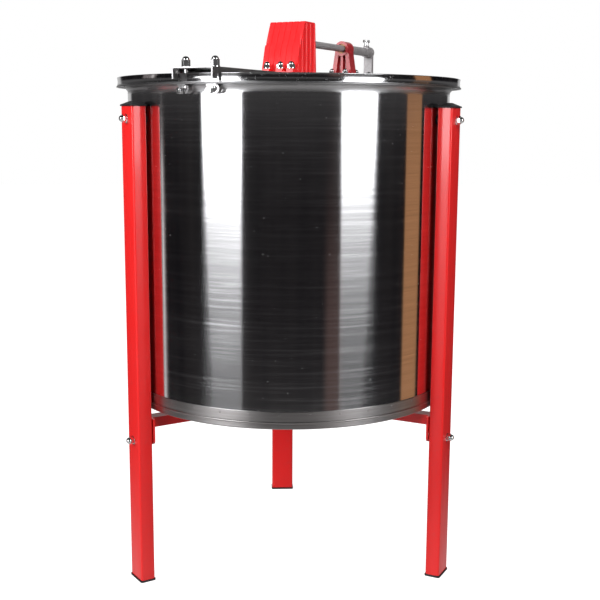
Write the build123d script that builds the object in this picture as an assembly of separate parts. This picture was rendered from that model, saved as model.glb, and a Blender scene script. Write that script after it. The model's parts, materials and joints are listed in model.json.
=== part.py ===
from build123d import *
import math
import os

# Hand-cranked four-frame honey extractor: a stainless drum on three red legs, with a
# crossbar over the mouth that carries the gear box and crank, and a wire cage inside.
# Millimetres, +Z up. The origin is on the drum axis at floor level.

# ---------------------------------------------------------------- driving dimensions
# drum
WALL_R = 310.5            # outside of the drum wall
SHEET = 1.2               # drum sheet thickness
DRUM_BOTTOM = 336.0
HOOP_TOP = 368.0
RIM_TOP = 948.0
RIM_BOTTOM = 930.0
RIM_R = 330.0             # outside of the rim band
RIM_LIP_R = 331.5         # bead along the rim's lower edge
LEDGE_Z = 944.5           # ledge inside the rim that the lids lie on
LEDGE_R = 321.7
MOUTH_R = 312.5
NECK_R = 314.5            # the wall swells to this just under the rim
NECK_Z = 921.0
FLOOR_EDGE_Z = 345.0
FLOOR_TOP_Z = 388.0

# legs and base star
LEG_ANGLES = {"front_left": 210.0, "front_right": 330.0, "rear": 90.0}
LEG_R = 328.6             # centre of a leg from the drum axis
LEG_DEPTH = 28.0          # radial
LEG_WIDTH = 48.0          # tangential
LEG_WALL = 2.0
LEG_TOP = 894.0
FOOT_H = 4.0
CAP_H = 9.0
UPPER_BOLT_Z = 872.0
LOWER_BOLT_Z = 277.0
ARM_TOP = 318.0
ARM_H = 19.0
ARM_W = 26.0
ARM_T = 3.0
PLATE_X0 = 308.6
PLATE_X1 = 312.6
PLATE_BOTTOM = 268.0
HUB_PLATE_T = 4.0

# crossbar
BAR_ANGLE = 60.0
BAR_HALF_L = 346.0
BAR_HALF_W = 40.0
BAR_T = 2.5
BAR_TOP = 957.5
BAR_DEPTH = 20.0
STUD_X = 319.0
STUD_Y = 29.0
CLAMP_T = 3.2             # thickness of the bent clamp plates
CLAMP_SCREW_Y = -8.5      # jack screw's place beside its stud
CLAMP_SCREW_Z = 919.0
CLAMP_SCREW_R = 3.0
CLAMP_CURL_R = 8.0        # outside of the jaw's curl

# gear box and crank
SHAFT_Z = 1021.5
SHAFT_R = 7.0
BOX_FRONT = -42.8
BOX_BACK = 42.7
BOX_HALF_W = 37.5
BOX_TOP = 1057.0
BOX_DRAFT = 5.2           # the back face leans in by this much at the top
BASE_T = 3.5
LUG_T = 6.0               # lugs of the cover, under their nuts
LUG_FRONT = -57.0
BOSS_X0 = 22.2            # post that holds the crank shaft behind its gear
BOSS_X1 = 34.0
CASTING_T = 2.4
GROOVE_DEPTH = 1.6
FRONT_GROOVE = 0.8        # the front's flutes are shallower
RIB_R = 2.6               # half-round ribs up the cover's sides
BRACKET_FOOT_T = 11.0
BRACKET_X0 = 240.0
BRACKET_X1 = 268.0
BRACKET_BOSS_R = 15.5
COVER_HOLE_R = 4.2
BRACKET_HOLE_R = 3.2
BRACKET_BOLT_IN = 14.0    # bolts stand this far from the bracket's two faces
BRACKET_BOLT_Y = 15.5
HUB_X0 = 272.0
HUB_X1 = 362.0
CRANK_X1 = 381.0
CRANK_RADIUS = 170.0
GRIP_L = 105.0
SCREW_X = 371.5

# bevel gears: apex where the crank shaft's axis meets the drum axis
MODULE = 1.8
PINION_TEETH = 15
GEAR_TEETH = 30
FACE_W = 9.0
BACKLASH = 0.30
PIN_X = 20.2              # cross pin through the crank gear's hub

# cage
CAGE_SHAFT_R = 10.0
PANEL_X = 200.0           # mesh panels stand this far from the axis
POST_R = 5.0
RING_R0 = 288.3
RING_R1 = 291.0
GUIDE_X = 154.0
REST_X = 178.0
CAGE_BOTTOM = 402.0
CAGE_TOP = 918.0
HUB_R = 18.0
HOOP_H = 15.0
SPOKE_H = 6.0
GUIDE_R = 3.0
RUN_GAP = 0.05            # radial running clearance

# lids
LID_T = 3.0
LID_R = 321.2
LID_EDGE_Y = 48.5
HINGE_Y = 44.8
HINGE_Z = 946.2
HINGE_X = 110.0

# honey gate
GATE_ANGLE = 120.0
GATE_Z = 380.0
GATE_BORE_R = 18.0
GATE_PIVOT_DZ = 36.0

os.makedirs("parts", exist_ok=True)


# ---------------------------------------------------------------- helpers
def save(name, shapes):
    """Write one node: one solid, or a group of separate ones."""
    if isinstance(shapes, (list, tuple)):
        shapes = Compound(children=[Solid(s.solid().wrapped) for s in shapes])
    export_step(shapes, f"parts/{name}.step")


def rod(r, z0, z1):
    return Pos(0, 0, z0) * extrude(Circle(r), z1 - z0)


def tube(r_out, r_in, z0, z1):
    return Pos(0, 0, z0) * extrude(Circle(r_out) - Circle(r_in), z1 - z0)


def block(x0, x1, y0, y1, z0, z1):
    return Pos((x0 + x1) / 2, (y0 + y1) / 2, (z0 + z1) / 2) * Box(x1 - x0, y1 - y0, z1 - z0)


def ring_from(points):
    return revolve(make_face(Plane.XZ * Polyline(*points, close=True)), Axis.Z)


def lying(shape, y=0.0, z=0.0):
    """Turn a shape drawn about +Z so that its axis points along +X at this place."""
    return Pos(0, y, z) * Rot(0, 90, 0) * shape


def turned(shape, angle):
    return Rot(0, 0, angle) * shape


def hexagon(across_flats, height):
    return extrude(RegularPolygon(across_flats / 2, 6, major_radius=False), height)


def cap_nut(across_flats, hex_h, dome_r, bore_r, depth):
    """Domed nut on its washer, standing on z = 0, with a blind hole of the bolt's size."""
    dome = Pos(0, 0, hex_h) * Sphere(dome_r)
    body = hexagon(across_flats, hex_h) + (dome & rod(dome_r + 1, hex_h - 0.5, hex_h + dome_r + 1))
    return body + tube(across_flats * 0.63, bore_r, 0, 1.6) - rod(bore_r, -1, depth)


# ---------------------------------------------------------------- drum
def drum_wall():
    inner = WALL_R - SHEET
    turn = math.degrees(math.acos(1 - (NECK_R - WALL_R) / 10))
    o1 = Line((WALL_R, DRUM_BOTTOM + 4), (WALL_R, NECK_Z))
    o2 = JernArc(o1 @ 1, (0, 1), 5, -turn)
    o3 = JernArc(o2 @ 1, o2 % 1, 5, turn)
    o4 = Line(o3 @ 1, (NECK_R, LEDGE_Z - 1.5))
    i1 = Line((inner, DRUM_BOTTOM + 4), (inner, NECK_Z))
    i2 = JernArc(i1 @ 1, (0, 1), 5 + SHEET, -turn)
    i3 = JernArc(i2 @ 1, i2 % 1, 5 - SHEET, turn)
    i4 = Line(i3 @ 1, (NECK_R - SHEET, LEDGE_Z - 1.5))
    ends = [Line(o1 @ 0, i1 @ 0), Line(o4 @ 1, i4 @ 1)]
    face = make_face(Plane.XZ * (Curve() + [o1, o2, o3, o4, i1, i2, i3, i4] + ends))
    wall = revolve(face, Axis.Z)
    for angle in LEG_ANGLES.values():
        wall -= turned(lying(rod(4.3, WALL_R - 10, WALL_R + 10), z=UPPER_BOLT_Z), angle)
    return wall - gate_hole()


def gate_hole():
    return turned(lying(rod(22.4, 290, 330), z=GATE_Z), GATE_ANGLE)


def stud_places():
    return [(sx * STUD_X, sy * STUD_Y) for sx in (-1, 1) for sy in (-1, 1)]


def drum_rim():
    """Pressed hoop over the wall's edge: ledge for the lids, crown, hollow band, bead."""
    crown_in = LEDGE_R + 0.6
    edges = [
        Line((MOUTH_R, LEDGE_Z), (LEDGE_R, LEDGE_Z)),
        Line((LEDGE_R, LEDGE_Z), (crown_in, RIM_TOP - 0.6)),
        Line((crown_in, RIM_TOP - 0.6), (crown_in + 0.6, RIM_TOP)),
        Line((crown_in + 0.6, RIM_TOP), (RIM_R - 1, RIM_TOP)),
        ThreePointArc((RIM_R - 1, RIM_TOP), (RIM_R - 0.29, RIM_TOP - 0.29), (RIM_R, RIM_TOP - 1)),
        ThreePointArc((RIM_R, RIM_TOP - 1), (RIM_R - 1, 939.5), (RIM_R, RIM_BOTTOM + 2.8)),
        Line((RIM_R, RIM_BOTTOM + 2.8), (RIM_LIP_R, RIM_BOTTOM + 1.6)),
        ThreePointArc(
            (RIM_LIP_R, RIM_BOTTOM + 1.6), (RIM_LIP_R + 0.2, RIM_BOTTOM + 0.8), (RIM_LIP_R, RIM_BOTTOM)),
        Line((RIM_LIP_R, RIM_BOTTOM), (RIM_R - 0.6, RIM_BOTTOM)),
        Line((RIM_R - 0.6, RIM_BOTTOM), (RIM_R - 2.4, RIM_BOTTOM + 4)),
        Line((RIM_R - 2.4, RIM_BOTTOM + 4), (RIM_R - 2.4, RIM_TOP - 1.5)),
        Line((RIM_R - 2.4, RIM_TOP - 1.5), (crown_in + 1.8, RIM_TOP - 1.5)),
        Line((crown_in + 1.8, RIM_TOP - 1.5), (crown_in + 1.4, LEDGE_Z - 1.5)),
        Line((crown_in + 1.4, LEDGE_Z - 1.5), (MOUTH_R, LEDGE_Z - 1.5)),
        Line((MOUTH_R, LEDGE_Z - 1.5), (MOUTH_R, LEDGE_Z)),
    ]
    rim = revolve(make_face(Plane.XZ * (Curve() + edges)), Axis.Z)
    for x, y in stud_places():
        rim -= turned(Pos(x, y, 0) * rod(4.3, RIM_BOTTOM, RIM_TOP + 1), BAR_ANGLE)
    return rim


def drum_base_hoop():
    """Band round the foot of the wall, with one bead and its lower edge turned in."""
    r = WALL_R + 0.1
    bead_z = DRUM_BOTTOM + 12
    edges = [
        Line((r, DRUM_BOTTOM + 3), (r, HOOP_TOP)),
        Line((r, HOOP_TOP), (r + 0.6, HOOP_TOP)),
        Line((r + 0.6, HOOP_TOP), (r + 1.1, HOOP_TOP - 1)),
        Line((r + 1.1, HOOP_TOP - 1), (r + 1.1, bead_z + 2)),
        ThreePointArc((r + 1.1, bead_z + 2), (r + 2.6, bead_z), (r + 1.1, bead_z - 2)),
        Line((r + 1.1, bead_z - 2), (r + 1.1, DRUM_BOTTOM + 2)),
        ThreePointArc((r + 1.1, DRUM_BOTTOM + 2), (r + 0.5, DRUM_BOTTOM + 0.6), (r - 0.9, DRUM_BOTTOM)),
        Line((r - 0.9, DRUM_BOTTOM), (r - 3, DRUM_BOTTOM)),
        Line((r - 3, DRUM_BOTTOM), (r - 3, DRUM_BOTTOM + 1.4)),
        Line((r - 3, DRUM_BOTTOM + 1.4), (r - 0.9, DRUM_BOTTOM + 1.6)),
        Line((r - 0.9, DRUM_BOTTOM + 1.6), (r, DRUM_BOTTOM + 3)),
    ]
    hoop = revolve(make_face(Plane.XZ * (Curve() + edges)), Axis.Z)
    return hoop - gate_hole()


def drum_floor():
    """Shallow cone, highest in the middle, so that honey runs out to the gate."""
    edge_r = WALL_R - SHEET - 0.1
    hub_r = 20.1
    return ring_from([
        (edge_r, FLOOR_EDGE_Z + SHEET), (hub_r, FLOOR_TOP_Z + SHEET), (hub_r, FLOOR_TOP_Z),
        (edge_r - SHEET, FLOOR_EDGE_Z), (edge_r - SHEET, DRUM_BOTTOM + 5), (edge_r, DRUM_BOTTOM + 5),
    ])


def pivot_cup():
    """Bottom bearing: flange on the base star, column up through the floor, blind bore."""
    z0 = ARM_TOP + HUB_PLATE_T
    cup = rod(32, z0, z0 + 5)
    cup += rod(20, z0, FLOOR_TOP_Z + 10)
    cup -= rod(CAGE_SHAFT_R + RUN_GAP, 373, FLOOR_TOP_Z + 12)
    for i in range(3):
        cup -= turned(Pos(26, 0, 0) * rod(2.6, z0 - 1, z0 + 6), 120 * i + 30)
    return cup


# ---------------------------------------------------------------- legs and base star
def leg():
    outer = RectangleRounded(LEG_DEPTH, LEG_WIDTH, 3.5)
    inner = RectangleRounded(LEG_DEPTH - 2 * LEG_WALL, LEG_WIDTH - 2 * LEG_WALL, 1.5)
    body = Pos(LEG_R, 0, FOOT_H) * extrude(outer - inner, LEG_TOP - FOOT_H)
    for z in (UPPER_BOLT_Z, LOWER_BOLT_Z):
        body -= lying(rod(4.3, LEG_R - LEG_DEPTH, LEG_R + LEG_DEPTH), z=z)
    return body


def leg_cap():
    """Push-in plastic cap with a low pyramid top."""
    brim_t = 2.5
    brim = RectangleRounded(LEG_DEPTH + 4, LEG_WIDTH + 4, 4)
    slab = Pos(LEG_R, 0, LEG_TOP) * extrude(brim, brim_t)
    low = Pos(LEG_R, 0, LEG_TOP + brim_t) * brim
    high = Pos(LEG_R, 0, LEG_TOP + CAP_H) * RectangleRounded(5, 22, 2)
    plug = Pos(LEG_R, 0, LEG_TOP - 12) * extrude(RectangleRounded(23.6, 43.6, 1.4), 12)
    return slab + loft([low, high]) + plug


def leg_foot():
    """Plastic shoe: a pad a little wider than the tube and a plug inside it."""
    pad = Pos(LEG_R, 0, 0) * extrude(RectangleRounded(LEG_DEPTH + 3, LEG_WIDTH + 3, 4), FOOT_H)
    plug = Pos(LEG_R, 0, FOOT_H) * extrude(RectangleRounded(23.6, 43.6, 1.4), 14)
    return pad + plug


def leg_upper_fasteners():
    """Coach bolt from inside the drum, and a domed nut outside the leg."""
    face = LEG_R + LEG_DEPTH / 2
    bolt = lying(rod(4, 304, face + 9), z=UPPER_BOLT_Z) + lying(rod(8, 304.6, 308.8), z=UPPER_BOLT_Z)
    nut = lying(cap_nut(13, 8, 6.2, 4, 9.5), z=UPPER_BOLT_Z)
    return [bolt, Pos(face, 0, 0) * nut]


def leg_spacer():
    """Rubber bush that fills the gap between wall and leg."""
    body = lying(tube(11, 4.3, WALL_R - 5, LEG_R - LEG_DEPTH / 2), z=UPPER_BOLT_Z)
    return body - rod(WALL_R + 0.05, UPPER_BOLT_Z - 20, UPPER_BOLT_Z + 20)


def leg_lower_fasteners():
    """Hex bolt through the star's end plate and the leg, a washer between, a domed nut."""
    inner = LEG_R - LEG_DEPTH / 2
    face = LEG_R + LEG_DEPTH / 2
    bolt = lying(rod(4, PLATE_X0 - 1, face + 9), z=LOWER_BOLT_Z)
    bolt += Pos(PLATE_X0 - 5.3, 0, 0) * lying(hexagon(13, 5.3), z=LOWER_BOLT_Z)
    washer = lying(tube(9, 4.05, PLATE_X1, inner), z=LOWER_BOLT_Z)
    nut = Pos(face, 0, 0) * lying(cap_nut(13, 8, 6.2, 4, 9.5), z=LOWER_BOLT_Z)
    return [bolt, washer, nut]


def base_arm(front):
    """Angle-iron arm with its welded end plate; front is +1 or -1, the web's side."""
    corner = 8.0
    sheet = Pos(0, (PLATE_BOTTOM + ARM_TOP) / 2) * RectangleRounded(47, ARM_TOP - PLATE_BOTTOM, corner)
    plate = Pos(PLATE_X0, 0, 0) * extrude(Plane.YZ * sheet, PLATE_X1 - PLATE_X0)
    plate += block(PLATE_X0, PLATE_X1, -23.5, 23.5, ARM_TOP - corner, ARM_TOP)
    web_y = sorted([front * 12.0, front * (12.0 - ARM_T)])
    top_y = sorted([front * 12.0, front * (12.0 - ARM_W)])
    arm = block(34, PLATE_X0, web_y[0], web_y[1], ARM_TOP - ARM_H, ARM_TOP)
    arm += block(34, PLATE_X0, top_y[0], top_y[1], ARM_TOP - ARM_T, ARM_TOP)
    plate -= lying(rod(4.3, PLATE_X0 - 2, PLATE_X1 + 2), z=LOWER_BOLT_Z)
    return plate + arm


def base_hub():
    """Round plate welded over the three arms, under the bottom bearing."""
    hub = rod(60, ARM_TOP, ARM_TOP + HUB_PLATE_T)
    for i in range(3):
        hub -= turned(Pos(26, 0, 0) * rod(2.6, ARM_TOP - 1, ARM_TOP + HUB_PLATE_T + 1), 120 * i + 30)
    return hub


def pivot_screws():
    z0 = ARM_TOP + HUB_PLATE_T
    screws = []
    for i in range(3):
        screw = rod(2.5, ARM_TOP - 7, z0 + 5) + Pos(0, 0, z0 + 5) * hexagon(8, 3.5)
        screw += Pos(0, 0, ARM_TOP - 4) * hexagon(8, 4)
        screws.append(turned(Pos(26, 0, 0) * screw, 120 * i + 30))
    return screws


# ---------------------------------------------------------------- crossbar
def crossbar():
    """Inverted channel; its flanges are notched over the rim and hang outside as tabs."""
    w = BAR_HALF_W
    bar = block(-BAR_HALF_L, BAR_HALF_L, -w, w, BAR_TOP - BAR_T, BAR_TOP)
    for side in (-1, 1):
        y = sorted([side * w, side * (w - BAR_T)])
        bar += block(-BAR_HALF_L, BAR_HALF_L, y[0], y[1], BAR_TOP - BAR_DEPTH, BAR_TOP)
    notch_in = math.sqrt(MOUTH_R ** 2 - w ** 2) - 2
    notch_out = math.sqrt(RIM_LIP_R ** 2 - (w - BAR_T) ** 2) + 1.5
    for end in (-1, 1):
        x = sorted([end * notch_in, end * notch_out])
        bar -= block(x[0], x[1], -w - 1, w + 1, BAR_TOP - BAR_DEPTH - 1, RIM_TOP + 0.05)
    for x, y in stud_places():
        bar -= Pos(x, y, 0) * rod(4.3, BAR_TOP - 5, BAR_TOP + 1)
    bar -= rod(14, BAR_TOP - 5, BAR_TOP + 1)
    for x, y in cover_bolts():
        bar -= Pos(x, y, 0) * rod(COVER_HOLE_R, BAR_TOP - 5, BAR_TOP + 1)
    for x, y in bracket_bolts():
        bar -= Pos(x, y, 0) * rod(BRACKET_HOLE_R, BAR_TOP - 5, BAR_TOP + 1)
    return bar


def crossbar_studs():
    return [Pos(x, y, 0) * rod(4, RIM_BOTTOM - 7, BAR_TOP + 8) for x, y in stud_places()]


def crossbar_cap_nuts():
    return [Pos(x, y, BAR_TOP) * cap_nut(13, 12.5, 6.3, 4.02, 12) for x, y in stud_places()]


def at_stud(shape, x, y):
    """From a clamp's own frame, with +X outward from the drum, to its stud."""
    return Pos(x, y, 0) * Rot(0, 0, math.degrees(math.atan2(y, x))) * shape


def clamp_hook():
    """Bent plate that the stud pulls up against the rim: top leg, screw tab and curled jaw."""
    z1 = RIM_BOTTOM - 0.2
    bore = CLAMP_SCREW_R + 0.02
    top = block(-5, 8, -13, 5, z1 - CLAMP_T, z1)
    tab = block(3, 3 + CLAMP_T, -13, -2.5, 913.5, z1)
    curl = lying(tube(CLAMP_CURL_R, CLAMP_CURL_R - CLAMP_T, -5, 6), 1.5, z1 - CLAMP_CURL_R)
    jaw = curl & block(-5, 6, 2.5, 12, 905, z1)
    plate = top + tab + jaw - rod(4.02, 919.5, 940)
    return plate - lying(rod(bore, 0, 10), CLAMP_SCREW_Y, CLAMP_SCREW_Z)


def clamp_screw():
    """Jack screw from the tab to the drum wall."""
    return lying(rod(CLAMP_SCREW_R, -8.6, 13), CLAMP_SCREW_Y, CLAMP_SCREW_Z)


def clamp_nut():
    nut = extrude(RegularPolygon(5, 6, major_radius=False) - Circle(CLAMP_SCREW_R + 0.02), 5)
    return Pos(3 + CLAMP_T, 0, 0) * lying(Rot(0, 0, 12) * nut, CLAMP_SCREW_Y, CLAMP_SCREW_Z)


# ---------------------------------------------------------------- gear box
def cover_bolts():
    return [(LUG_FRONT + 7, y) for y in (-30.5, -8, 20.5)]


def bracket_bolts():
    xs = (BRACKET_X0 - BRACKET_BOLT_IN, BRACKET_X1 + BRACKET_BOLT_IN)
    return [(x, side * BRACKET_BOLT_Y) for x in xs for side in (-1, 1)]


def bolt_and_cap_nut(x, y, seat_z, bolt_r, across_flats):
    """Bolt from under the crossbar with a domed nut on top of the casting."""
    under = BAR_TOP - BAR_T
    hex_h = across_flats * 0.6
    bolt = rod(bolt_r, under - 1, seat_z + hex_h) + Pos(0, 0, under - 4) * hexagon(across_flats, 4)
    nut = Pos(0, 0, seat_z) * cap_nut(across_flats, hex_h, across_flats * 0.48, bolt_r, hex_h + 0.5)
    return [Pos(x, y, 0) * bolt, Pos(x, y, 0) * nut]


def gear_base():
    """Casting on the crossbar: seat for the upper bearing and a post for the crank shaft."""
    z0 = BAR_TOP
    body = block(LUG_FRONT, BOX_BACK + 1.5, -BOX_HALF_W, BOX_HALF_W, z0, z0 + BASE_T)
    body += rod(20, z0, z0 + 14.5)
    body += block(BOSS_X0 + 1, BOSS_X1 - 0.5, -13, 13, z0, SHAFT_Z)
    body += lying(rod(14, BOSS_X0, BOSS_X1), z=SHAFT_Z)
    body -= rod(13, z0 - 1, z0 + 16)
    body -= lying(rod(10, BOSS_X0 - 1, BOSS_X1 + 1), z=SHAFT_Z)
    for x, y in cover_bolts():
        body -= Pos(x, y, 0) * rod(COVER_HOLE_R, z0 - 1, z0 + BASE_T + 1)
    return body


def cover_outline(inset, half_w):
    """Side outline of the cover, drawn in from the outside by this much, as a prism."""
    z0 = BAR_TOP + BASE_T - (1 if inset else 0)
    front_low = BOX_FRONT + inset
    back_high = BOX_BACK - BOX_DRAFT - inset
    points = [
        (front_low, z0), (front_low + 13, 1009), (front_low + 18, 1016),
        (-8.5 + inset, BOX_TOP - 3 - inset * 0.5), (-6 + inset, BOX_TOP - inset),
        (back_high - 3, BOX_TOP - inset), (back_high, BOX_TOP - 3 - inset), (BOX_BACK - inset, z0),
    ]
    face = make_face(Plane.XZ * Polyline(*points, close=True))
    return extrude(face, half_w, both=True)


def gear_cover():
    """Cast shell with upright flutes, open below, and three lugs along the front."""
    z0 = BAR_TOP + BASE_T
    body = cover_outline(0, BOX_HALF_W)
    core = cover_outline(FRONT_GROOVE, BOX_HALF_W + 10)
    pitch = (BOX_BACK - BOX_FRONT) / 5
    for side in (-1, 1):
        y = sorted([side * (BOX_HALF_W - GROOVE_DEPTH), side * (BOX_HALF_W + 2)])
        for i in range(1, 5):
            x = BOX_FRONT + i * pitch
            body -= block(x - 1.3, x + 1.3, y[0], y[1], z0 - 1, BOX_TOP - 6)
    for i in range(5):
        y = -25 + i * 12.5
        body -= block(BOX_FRONT - 5, 15, y - 1.8, y + 1.8, z0 + 12, BOX_TOP + 2) - core
    ribs = []
    for side in (-1, 1):
        for i in range(5):
            x = BOX_FRONT + (i + 0.5) * pitch
            ribs.append(Pos(x, side * (BOX_HALF_W - 1.2), 0) * rod(RIB_R, z0, BOX_TOP - 4))
    body += Compound(children=[rib & cover_outline(3, BOX_HALF_W + 5) for rib in ribs])
    body -= cover_outline(CASTING_T + GROOVE_DEPTH, BOX_HALF_W - CASTING_T - GROOVE_DEPTH)
    for x, y in cover_bolts():
        body += block(LUG_FRONT, BOX_FRONT + 2.5, y - 7, y + 7, z0, z0 + LUG_T)
    for x, y in cover_bolts():
        body -= Pos(x, y, 0) * rod(COVER_HOLE_R, z0 - 1, z0 + LUG_T + 1)
    return body - lying(rod(SHAFT_R + 1.2, 30, 60), z=SHAFT_Z)


def top_bearing():
    z1 = BAR_TOP + 14.5
    body = tube(12.95, CAGE_SHAFT_R + RUN_GAP, BAR_TOP - 7, z1)
    return body + tube(16, CAGE_SHAFT_R + RUN_GAP, z1, z1 + 2.5)


def inner_shaft_bush():
    return lying(tube(9.95, SHAFT_R + RUN_GAP, BOSS_X0, BOSS_X1), z=SHAFT_Z)


def outer_shaft_bush():
    return lying(tube(9.95, SHAFT_R + RUN_GAP, BRACKET_X0 + 1.5, BRACKET_X1 - 1.5), z=SHAFT_Z)


def shaft_bracket():
    """A-shaped casting: foot plate, two splayed legs, a middle rib and the bearing ring."""
    z0 = BAR_TOP
    z1 = z0 + BRACKET_FOOT_T
    over = BRACKET_BOLT_IN + 9
    foot = block(BRACKET_X0 - over, BRACKET_X1 + over, -27, 27, z0, z1)
    outline = Polyline((-23, z1), (-14.5, SHAFT_Z), (14.5, SHAFT_Z), (23, z1), close=True)
    legs = Pos(BRACKET_X0 + 1, 0, 0) * extrude(Plane.YZ * make_face(outline), BRACKET_X1 - BRACKET_X0 - 2)
    window = Polyline((-13, z1), (-8, SHAFT_Z - 14), (8, SHAFT_Z - 14), (13, z1), close=True)
    opening = Plane.YZ * make_face(window)
    legs -= Pos(BRACKET_X0, 0, 0) * extrude(opening, 9)
    legs -= Pos(BRACKET_X1 - 9, 0, 0) * extrude(opening, 10)
    legs += block(BRACKET_X0 + 2, BRACKET_X1 - 2, -2.5, 2.5, z1, SHAFT_Z - 10)
    ring = lying(rod(BRACKET_BOSS_R, BRACKET_X0 - 1, BRACKET_X1 + 1), z=SHAFT_Z)
    body = foot + legs + ring - lying(rod(10, BRACKET_X0 - 5, BRACKET_X1 + 5), z=SHAFT_Z)
    for x, y in bracket_bolts():
        body -= Pos(x, y, 0) * rod(BRACKET_HOLE_R, z0 - 1, z1 + 1)
    return body


# ---------------------------------------------------------------- bevel gears
def involute(angle):
    return math.tan(angle) - angle


def bevel_gear(teeth, mate, phase, hub):
    """Straight bevel gear about +Z with its apex at the origin; hub is its (r, z) outline."""
    cone = math.atan2(teeth, mate)
    reach = MODULE * math.hypot(teeth, mate) / 2
    shrink = (reach - FACE_W) / reach
    pitch_r = reach * math.sin(cone)
    pitch_h = reach * math.cos(cone)
    virtual_r = pitch_r / math.cos(cone)
    base_r = virtual_r * math.cos(math.radians(20))
    half_pitch = (math.pi * MODULE / 2 - BACKLASH) / 2 / virtual_r
    flank = []
    for depth in (-1.35, -0.75, -0.3, 0.15, 0.55, 0.9):
        rho = virtual_r + depth * MODULE
        spread = involute(math.acos(base_r / rho)) if rho > base_r else 0.0
        half = half_pitch + involute(math.radians(20)) - spread
        flank.append((rho * math.sin(half), rho * math.cos(half) - virtual_r))
    outline = flank + [(-x, y) for x, y in reversed(flank)]
    end = Plane((pitch_r, 0, pitch_h), x_dir=(0, 1, 0), z_dir=(-math.sin(cone), 0, -math.cos(cone)))
    up = 1 if end.y_dir.X > 0 else -1
    big = Polyline(*[end.from_local_coords((x, up * y, 0)) for x, y in outline], close=True)
    small = Polyline(*[end.from_local_coords((x, up * y, 0)) * shrink for x, y in outline], close=True)
    tooth = loft([make_face(big), make_face(small)], ruled=True)
    root = 1.2 * MODULE
    outer = (pitch_r - root * math.cos(cone), pitch_h + root * math.sin(cone))
    inner = (outer[0] * shrink, outer[1] * shrink)
    gear = ring_from([inner, outer] + hub)
    for i in range(teeth):
        gear += turned(tooth, phase + i * 360 / teeth)
    return gear


def crank_gear():
    bore = SHAFT_R + RUN_GAP
    hub = [(25.4, 18.6), (13.0, 18.6), (13.0, 21.8), (bore, 21.8), (bore, 11.0), (14.0, 11.0)]
    gear = bevel_gear(GEAR_TEETH, PINION_TEETH, 0.0, hub)
    gear = Pos(0, 0, SHAFT_Z) * Rot(0, 90, 0) * gear
    return gear - Pos(PIN_X, 0, 0) * rod(1.55, SHAFT_Z - 20, SHAFT_Z + 20)


def pinion():
    bore = SHAFT_R + RUN_GAP
    hub = [(11.0, 33.5), (11.0, 43.0), (bore, 43.0), (bore, 19.6)]
    gear = bevel_gear(PINION_TEETH, GEAR_TEETH, 180.0 / PINION_TEETH, hub)
    gear = Pos(0, 0, SHAFT_Z) * Rot(180, 0, 0) * gear
    return gear - lying(rod(2.05, -20, 20), z=SHAFT_Z - 38)


# ---------------------------------------------------------------- crank
def crank_shaft():
    shaft = lying(rod(SHAFT_R, 4, CRANK_X1), z=SHAFT_Z)
    shaft -= Pos(PIN_X, 0, 0) * rod(1.55, SHAFT_Z - 20, SHAFT_Z + 20)
    return shaft - Pos(SCREW_X, 0, 0) * rod(4, SHAFT_Z + SHAFT_R - 1.2, SHAFT_Z + 10)


def crank_gear_pin():
    return Pos(PIN_X, 0, 0) * rod(1.5, SHAFT_Z - 12.8, SHAFT_Z + 12.8)


def crank_hub():
    """Sleeve on the shaft, stepped up to a collar that the arm is welded to."""
    hub = lying(tube(9, SHAFT_R + RUN_GAP, HUB_X0, HUB_X1), z=SHAFT_Z)
    hub += lying(tube(11, SHAFT_R + RUN_GAP, HUB_X1, CRANK_X1), z=SHAFT_Z)
    hub += Pos(SCREW_X, 0, SHAFT_Z + 9) * hexagon(11, 5.5)
    hub -= lying(rod(SHAFT_R + RUN_GAP, HUB_X0 - 1, CRANK_X1 + 1), z=SHAFT_Z)
    return hub - Pos(SCREW_X, 0, 0) * rod(3 + RUN_GAP, SHAFT_Z, SHAFT_Z + 20)


def crank_arm():
    """Flat arm with rounded ends, hanging from the hub to the handle's spindle."""
    low = SHAFT_Z - CRANK_RADIUS
    arm = block(CRANK_X1, CRANK_X1 + 9, -10, 10, low, SHAFT_Z)
    arm += lying(rod(12, CRANK_X1, CRANK_X1 + 9), z=SHAFT_Z)
    arm += lying(rod(10, CRANK_X1, CRANK_X1 + 9), z=low)
    return arm - lying(rod(5.05, CRANK_X1 - 1, CRANK_X1 + 10), z=low)


def handle_spindle():
    """Shouldered spindle through the arm, with its lock nut and end screw head."""
    x0 = CRANK_X1
    low = SHAFT_Z - CRANK_RADIUS
    body = lying(rod(5, x0 - 8, x0 + 15 + GRIP_L), z=low)
    body += Pos(x0 - 6.5, 0, 0) * lying(hexagon(16, 6.5), z=low)
    body += lying(rod(8, x0 + 9, x0 + 12), z=low)
    return body + lying(rod(8.5, x0 + 13 + GRIP_L, x0 + 17 + GRIP_L), z=low)


def handle_grip():
    """Turned grip: flared ends with a fuller middle."""
    x0 = CRANK_X1 + 12.5
    r = 5 + RUN_GAP
    edges = [
        Line((r, 0), (13, 0)),
        ThreePointArc((13, 0), (15.2, 2), (14, 5)),
        Spline((14, 5), (13.2, 18), (16, 52), (13.6, GRIP_L - 14), (14.5, GRIP_L - 6)),
        ThreePointArc((14.5, GRIP_L - 6), (14, GRIP_L - 2), (11.5, GRIP_L)),
        Line((11.5, GRIP_L), (r, GRIP_L)),
        Line((r, GRIP_L), (r, 0)),
    ]
    grip = revolve(make_face(Plane.XZ * (Curve() + edges)), Axis.Z)
    return Pos(x0, 0, 0) * lying(grip, z=SHAFT_Z - CRANK_RADIUS)


def wing(reach, rise, thick):
    """Pair of thumb wings about +Z, standing on z = 0."""
    face = Plane.XZ * make_face(Polyline(
        (-3, 0), (-reach, rise * 0.55), (-reach + 1, rise), (-reach + 5, rise), (-2.5, rise * 0.5),
        (2.5, rise * 0.5), (reach - 5, rise), (reach - 1, rise), (reach, rise * 0.55), (3, 0), close=True))
    return extrude(face, thick / 2, both=True)


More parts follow.
